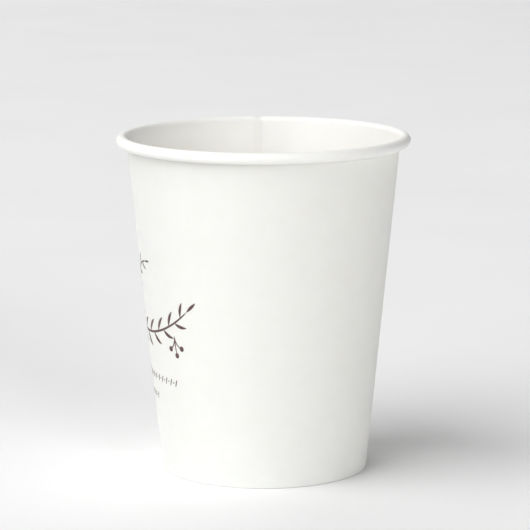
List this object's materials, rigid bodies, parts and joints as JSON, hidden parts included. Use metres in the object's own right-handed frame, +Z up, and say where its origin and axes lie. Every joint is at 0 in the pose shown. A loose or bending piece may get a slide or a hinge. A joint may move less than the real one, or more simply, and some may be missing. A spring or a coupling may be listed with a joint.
{
  "type": "paper cup",
  "caption": "Single-wall takeaway coffee cup: a tapered white paper wall with a lapped back seam, curled rim, folded foot and raised drawn bottom.",
  "frame": {"origin": "centre of the foot, on the plane of the table", "axes": "+Z up the cup's axis to the rim, +Y to the seam at the back, so that the front of the cup faces -Y"},
  "size_m": [0.08, 0.08, 0.092],
  "materials": {
    "printed_board": "matt white cupstock outside, thin clear coating inside",
    "coated_board": "white cupstock with a thin clear coating, satin"
  },
  "bodies": {
    "root": {"sidewall": "printed_board", "bottom_disc": "coated_board"}
  },
  "joints": []
}
